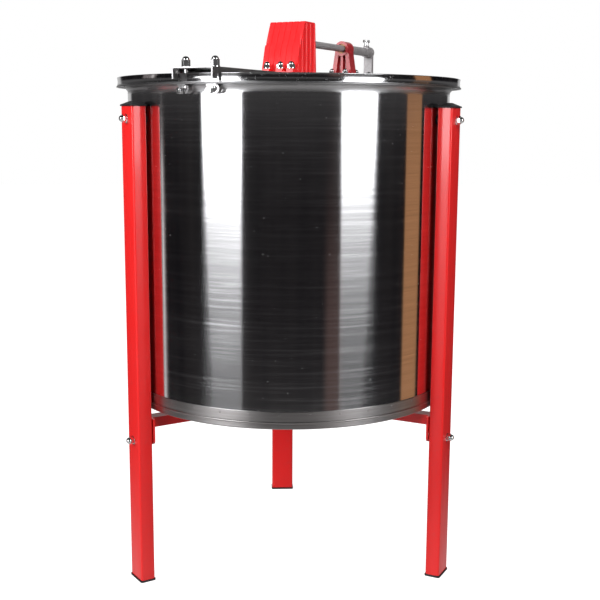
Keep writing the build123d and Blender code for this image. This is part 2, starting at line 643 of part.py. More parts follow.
def crank_wing_screw():
    screw = rod(3, SHAFT_Z + SHAFT_R + 0.1, SHAFT_Z + 20) + rod(4.5, SHAFT_Z + 15.2, SHAFT_Z + 21)
    return Pos(SCREW_X, 0, 0) * (screw + Pos(0, 0, SHAFT_Z + 17) * Rot(0, 0, -30) * wing(9, 10, 2.5))


# ---------------------------------------------------------------- cage
def cage_shaft():
    shaft = rod(CAGE_SHAFT_R, 384.1, SHAFT_Z - 44) + rod(SHAFT_R, SHAFT_Z - 44, SHAFT_Z - 18.5)
    return shaft - lying(rod(2.05, -20, 20), z=SHAFT_Z - 38)


def pinion_pin():
    return lying(rod(2, -10.8, 10.8), z=SHAFT_Z - 38)


def pivot_ball():
    return Pos(0, 0, 378.95) * Sphere(5)


def post_places():
    return [(sx * PANEL_X, sy * PANEL_X) for sx in (-1, 1) for sy in (-1, 1)]


def guide_places():
    near = 110.0
    places = []
    for a in (-1, 1):
        for b in (-1, 1):
            places += [(a * GUIDE_X, b * near), (b * near, a * GUIDE_X)]
    return places


def spider(z0, hub_z0, hub_z1, loops):
    """Welded wheel of the cage: hub, four diagonal spokes, and bars between them."""
    z1 = z0 + SPOKE_H
    spokes = []
    for angle in (45, 135, 225, 315):
        spoke = turned(block(0, RING_R1, -8, 8, z0, z1), angle) & tube(RING_R0, HUB_R, z0, z1)
        for x, y in post_places():
            spoke -= Pos(x, y, 0) * rod(POST_R + 0.05, z0 - 1, z1 + 1)
        spokes.append(spoke)
    bars = []
    for half, width in loops:
        end = half - width / 2
        for angle in (0, 90, 180, 270):
            bar = turned(block(end, half + width / 2, -end, end, z0, z1), angle)
            for spoke in spokes:
                bar -= spoke
            for x, y in guide_places():
                bar -= Pos(x, y, 0) * rod(GUIDE_R + 0.05, z0 - 1, z1 + 1)
            bars.append(bar)
    return [tube(HUB_R, CAGE_SHAFT_R + 0.02, hub_z0, hub_z1)] + spokes + bars


def cage_hoop(z0):
    return tube(RING_R1, RING_R0, z0, z0 + HOOP_H)


def mesh_panel():
    """Screen that a comb leans on: a flat border with crossed strips."""
    half_y = PANEL_X - POST_R - 0.5
    z0 = CAGE_BOTTOM + 10
    z1 = CAGE_TOP - 20
    border = 12.0
    panel = block(PANEL_X - 1.5, PANEL_X + 1.5, -half_y, half_y, z0, z1)
    panel -= block(PANEL_X - 2, PANEL_X + 2, -half_y + border, half_y - border, z0 + border, z1 - border)
    rows = 13
    for i in range(1, rows):
        z = z0 + i * (z1 - z0) / rows
        panel += block(PANEL_X, PANEL_X + 1.4, -half_y + 1, half_y - 1, z - 1.2, z + 1.2)
    columns = 10
    for i in range(1, columns):
        y = -half_y + i * 2 * half_y / columns
        panel += block(PANEL_X - 1.4, PANEL_X + 0.2, y - 1.2, y + 1.2, z0 + 1, z1 - 1)
    return panel


# ---------------------------------------------------------------- lids
def hinge_xs():
    return [-HINGE_X, HINGE_X]


def lid(side):
    """Half-moon clear sheet with a finger hole near its middle edge."""
    disc = rod(LID_R, LEDGE_Z + 0.2, LEDGE_Z + 0.2 + LID_T)
    y = sorted([side * LID_EDGE_Y, side * 400])
    sheet = disc & block(-400, 400, y[0], y[1], LEDGE_Z, LEDGE_Z + 5)
    sheet -= Pos(0, side * 215, 0) * rod(14, LEDGE_Z - 1, LEDGE_Z + 6)
    for x in hinge_xs():
        for dx in (-8, 8):
            sheet -= Pos(x + dx, side * (LID_EDGE_Y + 9), 0) * rod(2.05, LEDGE_Z - 1, LEDGE_Z + 6)
    return sheet


def hinge_bracket(x, side):
    """Fixed leaf on the crossbar's flange, with the two outer knuckles."""
    y = sorted([side * (BAR_HALF_W + 0.02), side * (BAR_HALF_W + 1.4)])
    leaf = block(x - 15, x + 15, y[0], y[1], HINGE_Z - 7, HINGE_Z + 6)
    for x0, x1 in ((x - 15, x - 6.2), (x + 6.2, x + 15)):
        leaf += lying(rod(3, x0, x1), side * HINGE_Y, HINGE_Z)
        yk = sorted([side * (BAR_HALF_W + 1), side * HINGE_Y])
        leaf += block(x0, x1, yk[0], yk[1], HINGE_Z - 1.2, HINGE_Z + 1.2)
    return leaf - lying(rod(1.52, x - 16, x + 16), side * HINGE_Y, HINGE_Z)


def hinge_leaf(x, side):
    """Moving leaf under the lid, with the middle knuckle and two rivets."""
    z1 = LEDGE_Z + 0.2
    y = sorted([side * (HINGE_Y + 1), side * (LID_EDGE_Y + 17)])
    leaf = block(x - 14, x + 14, y[0], y[1], z1 - 1.3, z1)
    ye = sorted([side * HINGE_Y, side * (HINGE_Y + 1)])
    leaf -= block(x - 16, x - 5.9, y[0] - 9, y[1] + 9, z1 - 3, z1 + 3) & hinge_clear(side)
    leaf -= block(x + 5.9, x + 16, y[0] - 9, y[1] + 9, z1 - 3, z1 + 3) & hinge_clear(side)
    leaf += block(x - 5.9, x + 5.9, ye[0], ye[1], z1 - 1.3, z1 + 0.6)
    leaf += lying(rod(3, x - 5.9, x + 5.9), side * HINGE_Y, HINGE_Z)
    for dx in (-8, 8):
        rivet = rod(2, z1 - 0.5, z1 + LID_T) + rod(3.6, z1 + LID_T, z1 + LID_T + 1.2)
        leaf += Pos(x + dx, side * (LID_EDGE_Y + 9), 0) * rivet
    return leaf - lying(rod(1.5 + RUN_GAP, x - 16, x + 16), side * HINGE_Y, HINGE_Z)


def hinge_clear(side):
    y = sorted([side * (HINGE_Y - 5), side * (LID_EDGE_Y + 0.3)])
    return block(-400, 400, y[0], y[1], HINGE_Z - 8, HINGE_Z + 8)


def hinge_pin(x, side):
    return lying(rod(1.5, x - 15, x + 15), side * HINGE_Y, HINGE_Z)


# ---------------------------------------------------------------- honey gate
def gate_body():
    """Gate: neck through the wall, collar, spout, and a face plate with the flap's lug."""
    rings = [(22, 299, 317), (31, 317, 323), (24, 323, 350)]
    pieces = [tube(r, GATE_BORE_R, x0, x1) for r, x0, x1 in rings]
    plate = rod(30, 350, 356) + Pos(-GATE_PIVOT_DZ, 0, 0) * rod(9, 350, 356)
    plate += block(-GATE_PIVOT_DZ, 0, -9, 9, 350, 356)
    plate -= rod(GATE_BORE_R, 349, 357)
    pieces.append(plate - Pos(-GATE_PIVOT_DZ, 0, 0) * rod(3.05, 349, 357))
    return [lying(piece, z=GATE_Z) for piece in pieces]


def gate_gasket():
    ring = lying(tube(30, 22.1, 305, 317), z=GATE_Z)
    return ring - rod(WALL_R + 2.9, GATE_Z - 60, GATE_Z + 60)


def gate_ring_nut():
    body = tube(27, 22.1, 300, 307)
    for i in range(6):
        body -= Rot(0, 0, 60 * i) * Pos(28, 0, 0) * rod(3, 299, 308)
    return lying(body, z=GATE_Z)


def gate_pivot_bolt():
    bolt = rod(3, 344, 373) + Pos(0, 0, 345.5) * hexagon(10, 4.5)
    return lying(Pos(-GATE_PIVOT_DZ, 0, 0) * bolt, z=GATE_Z)


def gate_flap():
    """Disc that shuts the spout, with its pivot eye above and a thumb tab below."""
    x0 = 356.2
    flap = rod(25, x0, x0 + 4) + Pos(-GATE_PIVOT_DZ, 0, 0) * rod(9, x0, x0 + 4)
    flap += block(-GATE_PIVOT_DZ, 0, -9, 9, x0, x0 + 4)
    flap += block(20, 42, -7, 7, x0, x0 + 4) + Pos(42, 0, 0) * rod(7, x0, x0 + 4)
    flap += rod(19, x0 + 4, x0 + 6.5)
    return lying(flap - Pos(-GATE_PIVOT_DZ, 0, 0) * rod(3 + RUN_GAP, x0 - 1, x0 + 5), z=GATE_Z)


def gate_wing_nut():
    x0 = 360.5
    nut = rod(6, x0, x0 + 8) + Pos(0, 0, x0 + 2) * Rot(0, 0, 90) * wing(14, 13, 3)
    nut -= rod(3 + RUN_GAP, x0 - 1, x0 + 16)
    return lying(Pos(-GATE_PIVOT_DZ, 0, 0) * nut, z=GATE_Z)


# ---------------------------------------------------------------- write every node
def on_bar(shape):
    return turned(shape, BAR_ANGLE)


def on_gate(shape):
    return turned(shape, GATE_ANGLE)


save("drum_wall", drum_wall())
save("drum_rim", drum_rim())
save("drum_base_hoop", drum_base_hoop())
save("drum_floor", drum_floor())
save("pivot_cup", pivot_cup())
save("pivot_ball", pivot_ball())
save("pivot_screws", pivot_screws())

angles = list(LEG_ANGLES.values())
for place, angle in LEG_ANGLES.items():
    save(f"leg_{place}", turned(leg(), angle))
    save(f"base_arm_{place}", turned(base_arm(-1 if place == "front_right" else 1), angle))
save("base_hub", base_hub())
save("leg_caps", [turned(leg_cap(), a) for a in angles])
save("leg_feet", [turned(leg_foot(), a) for a in angles])
save("leg_spacers", [turned(leg_spacer(), a) for a in angles])
save("leg_upper_bolts", [turned(s, a) for a in angles for s in leg_upper_fasteners()])
save("leg_lower_bolts", [turned(s, a) for a in angles for s in leg_lower_fasteners()])

save("crossbar", on_bar(crossbar()))
clamp_screws = [at_stud(f(), x, y) for f in (clamp_screw, clamp_nut) for x, y in stud_places()]
save("crossbar_studs", [on_bar(s) for s in crossbar_studs() + clamp_screws])
save("crossbar_cap_nuts", [on_bar(s) for s in crossbar_cap_nuts()])
save("crossbar_clamp_hooks", [on_bar(at_stud(clamp_hook(), x, y)) for x, y in stud_places()])

lug_top = BAR_TOP + BASE_T + LUG_T
foot_top = BAR_TOP + BRACKET_FOOT_T
cover_fixings = [f for x, y in cover_bolts() for f in bolt_and_cap_nut(x, y, lug_top, 4, 13)]
bracket_fixings = [f for x, y in bracket_bolts() for f in bolt_and_cap_nut(x, y, foot_top, 3, 10)]
save("gear_base", on_bar(gear_base()))
save("gear_cover", on_bar(gear_cover()))
save("gear_cover_bolts", [on_bar(s) for s in cover_fixings])
save("shaft_bushes", [top_bearing(), on_bar(inner_shaft_bush()), on_bar(outer_shaft_bush())])
save("shaft_bracket", on_bar(shaft_bracket()))
save("bracket_bolts", [on_bar(s) for s in bracket_fixings])

save("crank_shaft", on_bar(crank_shaft()))
save("crank_gear", on_bar(crank_gear()))
save("crank_gear_pin", on_bar(crank_gear_pin()))
save("crank_hub", on_bar(crank_hub()))
save("crank_arm", on_bar(crank_arm()))
save("handle_spindle", on_bar(handle_spindle()))
save("handle_grip", on_bar(handle_grip()))
save("crank_wing_screw", on_bar(crank_wing_screw()))

save("cage_shaft", on_bar(cage_shaft()))
save("pinion", on_bar(pinion()))
save("pinion_pin", on_bar(pinion_pin()))
guide_loop = (GUIDE_X, 8)
rest_loop = (REST_X, 14)
save("cage_top_spider", spider(CAGE_TOP - 12, CAGE_TOP - 22, CAGE_TOP, [guide_loop]))
save("cage_bottom_spider", spider(CAGE_BOTTOM, CAGE_BOTTOM, CAGE_BOTTOM + 18, [guide_loop, rest_loop]))
save("cage_hoops", [cage_hoop(CAGE_BOTTOM), cage_hoop(CAGE_TOP - HOOP_H)])
save("cage_posts", [Pos(x, y, 0) * rod(POST_R, CAGE_BOTTOM, 916) for x, y in post_places()])
save("cage_guide_rods", [Pos(x, y, 0) * rod(GUIDE_R, CAGE_BOTTOM, CAGE_TOP - 6) for x, y in guide_places()])
for i, angle in enumerate((0, 90, 180, 270)):
    save(f"mesh_panel_{i + 1}", turned(mesh_panel(), angle))

for name, side in (("left", 1), ("right", -1)):
    save(f"lid_{name}", on_bar(lid(side)))
    save(f"lid_hinge_leaves_{name}", [on_bar(hinge_leaf(x, side)) for x in hinge_xs()])
fixed_hinges = [f(x, s) for f in (hinge_bracket, hinge_pin) for s in (1, -1) for x in hinge_xs()]
save("lid_hinge_brackets", [on_bar(s) for s in fixed_hinges])

save("gate_body", [on_gate(s) for s in gate_body()])
save("gate_gasket", on_gate(gate_gasket()))
save("gate_ring_nut", on_gate(gate_ring_nut()))
save("gate_pivot_bolt", on_gate(gate_pivot_bolt()))
save("gate_flap", on_gate(gate_flap()))
save("gate_wing_nut", on_gate(gate_wing_nut()))
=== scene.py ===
"""Looks of a hand-cranked honey extractor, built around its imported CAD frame.

Metres, +Z up, with the origin on the drum axis at floor level. The camera looks along +Y.
"""
import json
import math

import bmesh
import bpy
from mathutils import Matrix, Vector

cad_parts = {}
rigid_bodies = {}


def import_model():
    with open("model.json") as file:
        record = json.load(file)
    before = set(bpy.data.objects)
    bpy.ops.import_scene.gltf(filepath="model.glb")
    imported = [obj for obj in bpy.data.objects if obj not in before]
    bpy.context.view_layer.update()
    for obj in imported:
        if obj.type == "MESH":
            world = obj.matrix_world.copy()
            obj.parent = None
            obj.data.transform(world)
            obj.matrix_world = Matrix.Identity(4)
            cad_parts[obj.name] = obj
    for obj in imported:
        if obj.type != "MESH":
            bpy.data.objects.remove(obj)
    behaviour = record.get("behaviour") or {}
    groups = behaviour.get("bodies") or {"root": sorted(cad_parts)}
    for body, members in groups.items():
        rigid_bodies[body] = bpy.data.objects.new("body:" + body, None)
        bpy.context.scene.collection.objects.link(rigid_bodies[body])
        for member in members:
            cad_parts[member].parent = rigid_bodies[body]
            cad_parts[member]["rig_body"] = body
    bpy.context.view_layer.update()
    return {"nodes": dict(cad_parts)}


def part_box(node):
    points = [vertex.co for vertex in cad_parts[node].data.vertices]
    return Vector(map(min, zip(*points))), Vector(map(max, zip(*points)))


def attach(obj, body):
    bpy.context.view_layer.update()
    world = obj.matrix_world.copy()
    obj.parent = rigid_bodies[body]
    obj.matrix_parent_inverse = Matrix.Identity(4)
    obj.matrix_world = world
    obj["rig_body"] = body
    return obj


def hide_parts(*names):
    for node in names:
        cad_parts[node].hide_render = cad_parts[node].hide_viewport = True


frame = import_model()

MM = 0.001
WHITE = (1.0, 1.0, 1.0)

# ---------------------------------------------------------------- places taken from the frame
BAR_TURN = math.radians(60)                      # the crossbar runs across the drum at this angle
BAR = Matrix.Rotation(BAR_TURN, 4, "Z")          # drawn along +X, then turned onto the crossbar
LEG_TURNS = {
    "leg_front_left": math.radians(210), "leg_front_right": math.radians(330), "leg_rear": math.radians(90),
}
RIM_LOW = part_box("drum_rim")[0].z
WALL_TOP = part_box("drum_wall")[1].z
HOOP_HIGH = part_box("drum_base_hoop")[1]
HOOP_BEAD = 2.7 * MM                             # how far the base hoop's bead stands off the wall
DRUM_R = HOOP_HIGH.x - HOOP_BEAD                 # outside of the wall


# ---------------------------------------------------------------- node graphs
class Graph:
    """Adds nodes to one tree; most methods return the socket that they made."""

    def __init__(self, tree):
        self.tree = tree

    def link(self, value, target):
        if isinstance(value, bpy.types.NodeSocket):
            self.tree.links.new(value, target)
        else:
            target.default_value = value

    def add(self, kind, output=0, inputs=None, **settings):
        node = self.tree.nodes.new("ShaderNode" + kind)
        for key, value in settings.items():
            setattr(node, key, value)
        for key, value in (inputs or {}).items():
            self.link(value, node.inputs[key])
        return node.outputs[output]

    def place(self, scale=WHITE):
        """The point on the object, in metres, stretched by a scale along each axis."""
        point = self.add("TexCoord", "Object")
        return self.add("Mapping", inputs={"Vector": point, "Scale": scale})

    def noise(self, scale, detail=2.0, stretch=WHITE, rough=0.5, distortion=0.0):
        inputs = {"Vector": self.place(stretch), "Scale": scale, "Detail": detail,
                  "Roughness": rough, "Distortion": distortion}
        return self.add("TexNoise", inputs=inputs)

    def axes(self, vector):
        """The X, Y and Z of a vector, by name."""
        node = self.tree.nodes.new("ShaderNodeSeparateXYZ")
        self.link(vector, node.inputs[0])
        return node.outputs

    def math(self, operation, a, b=0.0):
        return self.add("Math", inputs={0: a, 1: b}, operation=operation)

    def plus(self, first, *others):
        for other in others:
            first = self.math("ADD", first, other)
        return first

    def times(self, first, *others):
        for other in others:
            first = self.math("MULTIPLY", first, other)
        return first

    def remap(self, value, low, high, to_low=0.0, to_high=1.0, smooth=False):
        kind = "SMOOTHSTEP" if smooth else "LINEAR"
        inputs = {"Value": value, "From Min": low, "From Max": high, "To Min": to_low, "To Max": to_high}
        return self.add("MapRange", inputs=inputs, interpolation_type=kind, clamp=True)

    def rise(self, value, start, end):
        """Nought up to the start and one from the end on, with a smooth step between them."""
        return self.remap(value, start, end, 0.0, 1.0, True)

    def fall(self, value, start, end):
        """One up to the start and nought from the end on, with a smooth step between them."""
        return self.remap(value, start, end, 1.0, 0.0, True)

    def mix(self, amount, a, b, blend="MIX"):
        colours = [c if isinstance(c, bpy.types.NodeSocket) else (*c, 1.0) for c in (a, b)]
        inputs = {0: amount, 6: colours[0], 7: colours[1]}
        return self.add("Mix", 2, inputs, data_type="RGBA", blend_type=blend)

    def bump(self, height, distance, under=None):
        inputs = {"Height": height, "Distance": distance, "Strength": 1.0}
        if under:
            inputs["Normal"] = under
        return self.add("Bump", inputs=inputs)


SPECIAL_SOCKETS = {"ior": "IOR", "specular_ior_level": "Specular IOR Level"}
GRAIN_TURN = 0.25                                # highlights lie a quarter turn from the way round the drum


class Finish(Graph):
    """A material with one Principled surface."""

    def __init__(self, slot, **values):
        self.material = bpy.data.materials.new(slot + "_finish")
        self.material.use_nodes = True
        super().__init__(self.material.node_tree)
        self.surface = self.tree.nodes["Principled BSDF"]
        self.set(**values)

    def set(self, **values):
        """Sockets by name, with _ for a space, such as base_color or ior."""
        for key, value in values.items():
            title = SPECIAL_SOCKETS.get(key) or key.replace("_", " ").title()
            if isinstance(value, tuple) and len(value) == 3:
                value = (*value, 1.0)
            self.link(value, self.surface.inputs[title])

    def grain_round_drum(self):
        """Measure the anisotropy from the level direction round the drum's axis."""
        self.set(tangent=self.add("Tangent", direction_type="RADIAL", axis="Z"))


# ---------------------------------------------------------------- finishes
DUSTY_RED = (0.42, 0.05, 0.05)
CHIPPED_RED = (0.16, 0.03, 0.03)
CHIP_DEPTH = 0.12 * MM
SAND_DEPTH = 0.16 * MM                           # relief that the sand mould leaves on a casting


def paint(slot, bright, deep, roughness, peel_scale, peel_depth, casting=False):
    """Gloss enamel: a fine orange peel, slightly uneven tone, patches of dust and a few chips."""
    f = Finish(slot, specular_ior_level=0.4, coat_weight=0.5 if casting else 0.9, coat_roughness=0.1)
    tone = f.noise(3.0, 3.0)
    colour = f.mix(f.remap(tone, 0.3, 0.75), bright, deep)
    dust = f.remap(f.noise(85.0, 6.0, rough=0.75), 0.52, 0.8, 0.0, 0.3)
    colour = f.mix(dust, colour, DUSTY_RED)
    chips = f.remap(f.noise(230.0, 3.0, rough=0.7), 0.735, 0.76)
    f.set(base_color=f.mix(chips, colour, CHIPPED_RED))
    wear = f.noise(60.0, 5.0, (1, 1, 0.25))
    f.set(roughness=f.remap(wear, 0.4, 0.75, roughness, roughness + 0.16))
    peel = f.bump(f.noise(peel_scale, 2.0), peel_depth)
    if casting:
        peel = f.bump(f.noise(190.0, 4.0, rough=0.6), SAND_DEPTH, peel)
    f.set(normal=f.bump(chips, -CHIP_DEPTH, peel))
    return f.material


def brushed(slot, light, dark, roughness, stretch, groove, anisotropy=0.0, smudge=0.08, tint=None, metal=1.0):
    """Metal with a grain. The stretch is the noise's scale along each axis, and is small along the grain."""
    f = Finish(slot, metallic=metal, anisotropic=anisotropy, anisotropic_rotation=GRAIN_TURN)
    coarse = f.noise(1.0, 4.0, stretch, 0.65)
    fine = f.noise(3.7, 2.0, stretch, 0.5)
    cloud = f.noise(9.0, 3.0, distortion=0.6)
    colour = f.mix(f.remap(coarse, 0.3, 0.7), dark, light)
    if tint:
        colour = f.mix(f.remap(cloud, 0.45, 0.75, 0.0, 0.55), colour, tint)
    f.set(base_color=colour)
    smears = f.remap(cloud, 0.4, 0.7, 0.0, smudge)
    scratches = f.remap(fine, 0.3, 0.7, 0.0, smudge * 0.5)
    f.set(roughness=f.plus(smears, scratches, roughness))
    grain = f.bump(coarse, groove)
    f.set(normal=f.bump(fine, groove * 0.4, grain))
    if anisotropy:
        f.grain_round_drum()
    return f.material


NECK_BOTTOM, NECK_TOP = 16 * MM, 7 * MM          # the dull neck of the wall, measured down from the rim


def mirror_drum(slot):
    """Near-mirror sheet, polished round the drum: fine level lines, smudges, hair scratches, a dull neck."""
    f = Finish(slot, metallic=1.0, anisotropic=0.92, anisotropic_rotation=GRAIN_TURN)
    lines = f.noise(1.0, 5.0, (3, 3, 150), 0.75)
    hair = f.noise(1.0, 2.0, (7, 7, 900), 0.5)
    cloud = f.noise(5.5, 4.0, distortion=0.8)
    colour = f.mix(f.remap(lines, 0.3, 0.7), (0.56, 0.555, 0.56), (0.68, 0.675, 0.68))
    colour = f.mix(f.remap(hair, 0.62, 0.74, 0.0, 0.5), colour, (0.84, 0.83, 0.82))
    specks = f.remap(f.noise(210.0, 2.0, rough=0.7), 0.74, 0.78)
    f.set(base_color=f.mix(f.times(specks, 0.6), colour, (0.9, 0.9, 0.9)))
    smears = f.remap(cloud, 0.45, 0.75, 0.0, 0.03)
    scratches = f.remap(lines, 0.5, 0.75, 0.0, 0.05)
    height = f.axes(f.place())["Z"]
    neck = f.remap(height, RIM_LOW - NECK_BOTTOM, RIM_LOW - NECK_TOP, 0.0, 0.4, True)
    f.set(roughness=f.plus(smears, scratches, neck, f.times(specks, 0.3), 0.105))
    grain = f.bump(lines, 0.012 * MM)
    f.set(normal=f.bump(hair, 0.003 * MM, grain))
    f.grain_round_drum()
    return f.material


BEAD_FULL, BEAD_ENDS = 2.5 * MM, 5 * MM          # the rim's lower bead, rougher and with painted shade, measured up from its bottom


def rolled_rim(slot):
    """Polished rolled rim: level lines, small dents and specks, and a rougher bead under its edge, darkened
    with painted shade.
    """
    f = Finish(slot, metallic=1.0, anisotropic=0.7, anisotropic_rotation=GRAIN_TURN)
    lines = f.noise(1.0, 4.0, (6, 6, 420), 0.65)
    specks = f.remap(f.noise(150.0, 4.0, rough=0.75), 0.6, 0.7)
    dents = f.noise(38.0, 3.0, (1, 1, 2.2))
    colour = f.mix(f.remap(lines, 0.3, 0.7), (0.54, 0.53, 0.54), (0.68, 0.68, 0.68))
    colour = f.mix(f.times(specks, 0.7), colour, (0.86, 0.86, 0.86))
    height = f.axes(f.place())["Z"]
    # painted shade: the bead under the rim's edge is darkened in colour, and is also made rougher
    rough_and_shaded = f.remap(height, RIM_LOW + BEAD_FULL, RIM_LOW + BEAD_ENDS, 0.4, 0.0, True)
    f.set(base_color=f.mix(f.times(rough_and_shaded, 1.5), colour, (0.3, 0.295, 0.3)))
    scratches = f.remap(lines, 0.35, 0.75, 0.0, 0.05)
    f.set(roughness=f.plus(f.times(specks, 0.25), scratches, rough_and_shaded, 0.1))
    f.set(normal=f.bump(lines, 0.01 * MM, f.bump(dents, 0.05 * MM)))
    f.grain_round_drum()
    return f.material


def chrome(slot):
    """Bright plated nuts and bolts, with a little tarnish."""
    f = Finish(slot, metallic=1.0)
    stain = f.noise(160.0, 3.0)
    f.set(base_color=f.mix(f.remap(stain, 0.5, 0.75), (0.88, 0.88, 0.88), (0.62, 0.58, 0.55)))
    f.set(roughness=f.remap(stain, 0.3, 0.75, 0.1, 0.22))
    f.set(normal=f.bump(f.noise(700.0, 2.0), 0.01 * MM))
    return f.material


def plastic(slot, colour, roughness, grain_scale, grain_depth, dust=(0.12, 0.12, 0.12)):
    """Moulded plastic: fine spark-eroded grain, with pale rubbed dust."""
    f = Finish(slot)
    rub = f.noise(45.0, 5.0, rough=0.65)
    f.set(base_color=f.mix(f.remap(rub, 0.5, 0.8, 0.0, 0.35), colour, dust))
    f.set(roughness=f.remap(rub, 0.3, 0.7, roughness, roughness + 0.15))
    f.set(normal=f.bump(f.noise(grain_scale, 2.0), grain_depth))
    return f.material


def acrylic(slot):
    """Clear sheet with faint scuffs."""
    f = Finish(slot, transmission_weight=1.0, ior=1.49)
    scuff = f.noise(14.0, 6.0, (1, 5, 1), 0.75)
    f.set(base_color=f.mix(f.remap(scuff, 0.4, 0.7), (0.93, 0.965, 0.955), (0.86, 0.9, 0.89)))
    f.set(roughness=f.remap(scuff, 0.55, 0.8, 0.01, 0.14))
    f.set(normal=f.bump(f.noise(22.0, 2.0), 0.04 * MM))
    return f.material


PAINTS = {
    "red_paint": dict(bright=(0.78, 0.017, 0.016), deep=(0.7, 0.013, 0.013), roughness=0.3,
                      peel_scale=420.0, peel_depth=0.03 * MM),
    "red_casting": dict(bright=(0.76, 0.014, 0.016), deep=(0.66, 0.011, 0.014), roughness=0.34,
                        peel_scale=300.0, peel_depth=0.05 * MM, casting=True),
    # painted shade: a darker copy of red_casting for the shaft bracket, standing for the gear cover's shadow
    # on it
    "painted_shade_casting": dict(bright=(0.34, 0.016, 0.02), deep=(0.2, 0.01, 0.014), roughness=0.42,
                         peel_scale=260.0, peel_depth=0.07 * MM, casting=True),
}
PLASTICS = {
    "black_plastic": dict(colour=(0.006, 0.006, 0.007), roughness=0.45, grain_scale=900.0,
                          grain_depth=0.03 * MM, dust=(0.05, 0.05, 0.05)),
    "grip_plastic": dict(colour=(0.02, 0.02, 0.022), roughness=0.3, grain_scale=650.0, grain_depth=0.04 * MM),
    "rubber": dict(colour=(0.03, 0.03, 0.03), roughness=0.6, grain_scale=500.0, grain_depth=0.06 * MM),
    "gate_nylon": dict(colour=(0.84, 0.8, 0.68), roughness=0.3, grain_scale=380.0,
                       grain_depth=0.04 * MM, dust=(0.7, 0.62, 0.45)),
}
METALS = {
    "bronze": dict(light=(0.3, 0.17, 0.09), dark=(0.2, 0.11, 0.06), roughness=0.42,
                   stretch=(700, 700, 60), groove=0.02 * MM),
    "gear_steel": dict(light=(0.5, 0.5, 0.51), dark=(0.36, 0.35, 0.35), roughness=0.3,
                       stretch=(300, 300, 300), groove=0.03 * MM, tint=(0.2, 0.17, 0.12)),
    "hoop_stainless": dict(light=(0.42, 0.405, 0.4), dark=(0.31, 0.295, 0.29), roughness=0.3,
                           stretch=(7, 7, 260), groove=0.04 * MM, anisotropy=0.5, smudge=0.12,
                           tint=(0.25, 0.225, 0.215)),
    "inner_stainless": dict(light=(0.64, 0.63, 0.62), dark=(0.5, 0.49, 0.48), roughness=0.3,
                            stretch=(60, 60, 60), groove=0.03 * MM),
    "bar_stainless": dict(light=(0.58, 0.57, 0.57), dark=(0.42, 0.41, 0.41), roughness=0.26,
                          stretch=(300, 22, 300), groove=0.02 * MM, smudge=0.1),
    "cage_stainless": dict(light=(0.68, 0.68, 0.68), dark=(0.54, 0.53, 0.53), roughness=0.24,
                           stretch=(90, 90, 90), groove=0.02 * MM),
    "crank_steel": dict(light=(0.37, 0.355, 0.36), dark=(0.26, 0.248, 0.25), roughness=0.46,
                        stretch=(160, 160, 160), groove=0.04 * MM, smudge=0.14, tint=(0.3, 0.28, 0.28),
                        metal=0.45),
}
FINISHES = {                                     # by slot; painted_shade_casting is a darker copy of red_casting, with the gear cover's shadow painted in
    **{slot: paint(slot, **values) for slot, values in PAINTS.items()},
    **{slot: plastic(slot, **values) for slot, values in PLASTICS.items()},
    **{slot: brushed(slot, **values) for slot, values in METALS.items()},
    "clear_acrylic": acrylic("clear_acrylic"),
    "drum_stainless": mirror_drum("drum_stainless"),
    "rim_stainless": rolled_rim("rim_stainless"),
    "bright_fasteners": chrome("bright_fasteners"),
}

for node in frame["nodes"].values():
    for material_slot in node.material_slots:
        material_slot.material = FINISHES[material_slot.material.name]


# ---------------------------------------------------------------- mesh helpers
def new_piece(name, vertices, faces, slot, body):
    """A mesh piece drawn in place, in metres, with its finish and riding on a CAD body."""
    mesh = bpy.data.meshes.new(name)
    mesh.from_pydata([tuple(v) for v in vertices], [], faces)
    mesh.materials.append(FINISHES[slot])
    for polygon in mesh.polygons:
        polygon.use_smooth = True
    piece = bpy.data.objects.new(name, mesh)
    bpy.context.scene.collection.objects.link(piece)
    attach(piece, body)
    return piece


def apply_modifiers(piece):
    """Keep the evaluated mesh and drop the modifiers."""
    graph = bpy.context.evaluated_depsgraph_get()
    mesh = bpy.data.meshes.new_from_object(piece.evaluated_get(graph))
    piece.modifiers.clear()
    piece.data = mesh


def frame_slot(source):
    """The record's slot of a CAD node, from the finish that it was given."""
    return source.material_slots[0].material.name.replace("_finish", "")


MERGE = 0.01 * MM                                # corners closer than this are one
FLAT = math.radians(0.4)                         # faces that meet at less than this are one
SHARP = math.radians(35.0)                       # edges that turn more than this are rounded


def softened(node, radius):
    """A CAD node's shape with its sharp edges rounded over by a radius in mm; it replaces the node."""
    source = frame["nodes"][node]
    shape = bmesh.new()
    shape.from_mesh(source.data)
    bmesh.ops.remove_doubles(shape, verts=shape.verts, dist=MERGE)
    bmesh.ops.dissolve_limit(shape, angle_limit=FLAT, verts=shape.verts, edges=shape.edges)
    vertices = [v.co.copy() for v in shape.verts]
    faces = [[v.index for v in f.verts] for f in shape.faces]
    shape.free()
    piece = new_piece(node + "_rounded", vertices, faces, frame_slot(source), source["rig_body"])
    bevel = piece.modifiers.new("rounding", "BEVEL")
    bevel.width = radius * MM
    bevel.segments = 3
    bevel.limit_method = "ANGLE"
    bevel.angle_limit = SHARP
    bevel.harden_normals = True
    bevel.miter_outer = "MITER_ARC"
    apply_modifiers(piece)
    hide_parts(node)


def lathe(name, outline, place, slot, body, steps):
    """A closed (radius, height) outline in metres, spun about +Z and placed by a matrix."""
    count = len(outline)
    vertices = []
    for i in range(steps):
        angle = 2 * math.pi * i / steps
        for radius, height in outline:
            vertices.append(place @ Vector((radius * math.cos(angle), radius * math.sin(angle), height)))
    faces = []
    for i in range(steps):
        for j in range(count):
            a, b = i * count, (i + 1) % steps * count
            faces.append((a + j, b + j, b + (j + 1) % count, a + (j + 1) % count))
    return new_piece(name, vertices, faces, slot, body)


